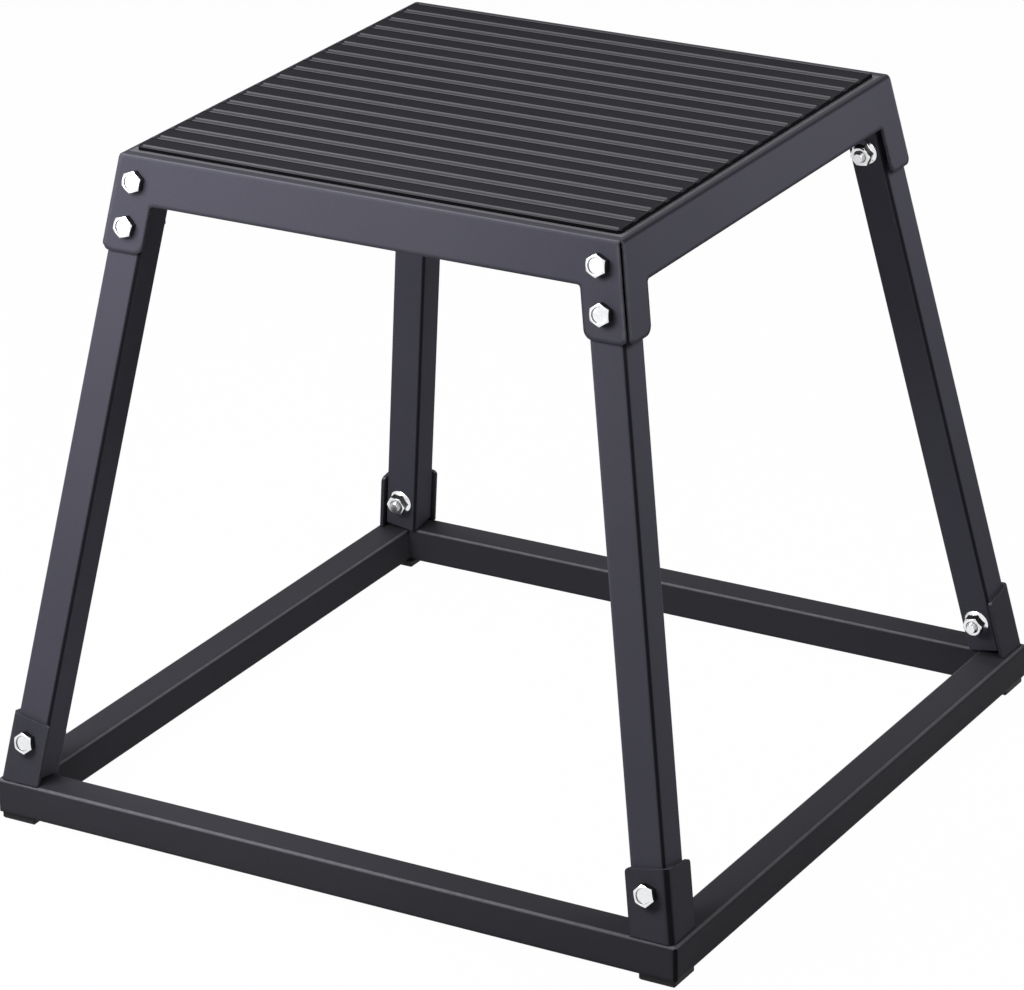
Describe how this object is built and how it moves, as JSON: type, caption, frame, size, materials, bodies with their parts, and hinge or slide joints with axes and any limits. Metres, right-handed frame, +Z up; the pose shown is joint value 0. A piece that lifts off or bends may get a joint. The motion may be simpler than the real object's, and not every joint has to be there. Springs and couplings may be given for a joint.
{
  "type": "plyo box",
  "caption": "Steel plyometric jump box with a ribbed rubber tread on a folded deck, leaning square-tube legs and a bolted square-tube base.",
  "frame": {"origin": "centre of the footprint, on the floor plane under the feet", "axes": "+Z up through the middle of the deck; -Y faces the front, where deck bolts show; +X to the right along the tread bars"},
  "size_m": [0.511, 0.5122, 0.457],
  "materials": {
    "powder_coat": "fine-grained dark grey powder coat",
    "rubber_mat": "matt bars between smooth shallow grooves",
    "rubber_foot": "matt black",
    "zinc": "bright zinc plating"
  },
  "bodies": {
    "root": {"base_bolt_front_left": "zinc", "base_bolt_front_right": "zinc", "base_bolt_rear_left": "zinc", "base_bolt_rear_right": "zinc", "base_bracket_front_left": "powder_coat", "base_bracket_front_right": "powder_coat", "base_bracket_rear_left": "powder_coat", "base_bracket_rear_right": "powder_coat", "base_nut_front_left": "zinc", "base_nut_front_right": "zinc", "base_nut_rear_left": "zinc", "base_nut_rear_right": "zinc", "base_rail_front": "powder_coat", "base_rail_left": "powder_coat", "base_rail_rear": "powder_coat", "base_rail_right": "powder_coat", "deck_bolts_front_left": "zinc", "deck_bolts_front_right": "zinc", "deck_bolts_rear_left": "zinc", "deck_bolts_rear_right": "zinc", "deck_nuts_front_left": "zinc", "deck_nuts_front_right": "zinc", "deck_nuts_rear_left": "zinc", "deck_nuts_rear_right": "zinc", "deck_pan": "powder_coat", "foot_front_left": "rubber_foot", "foot_front_right": "rubber_foot", "foot_rear_left": "rubber_foot", "foot_rear_right": "rubber_foot", "leg_front_left": "powder_coat", "leg_front_right": "powder_coat", "leg_rear_left": "powder_coat", "leg_rear_right": "powder_coat", "tread_mat": "rubber_mat"}
  },
  "joints": []
}
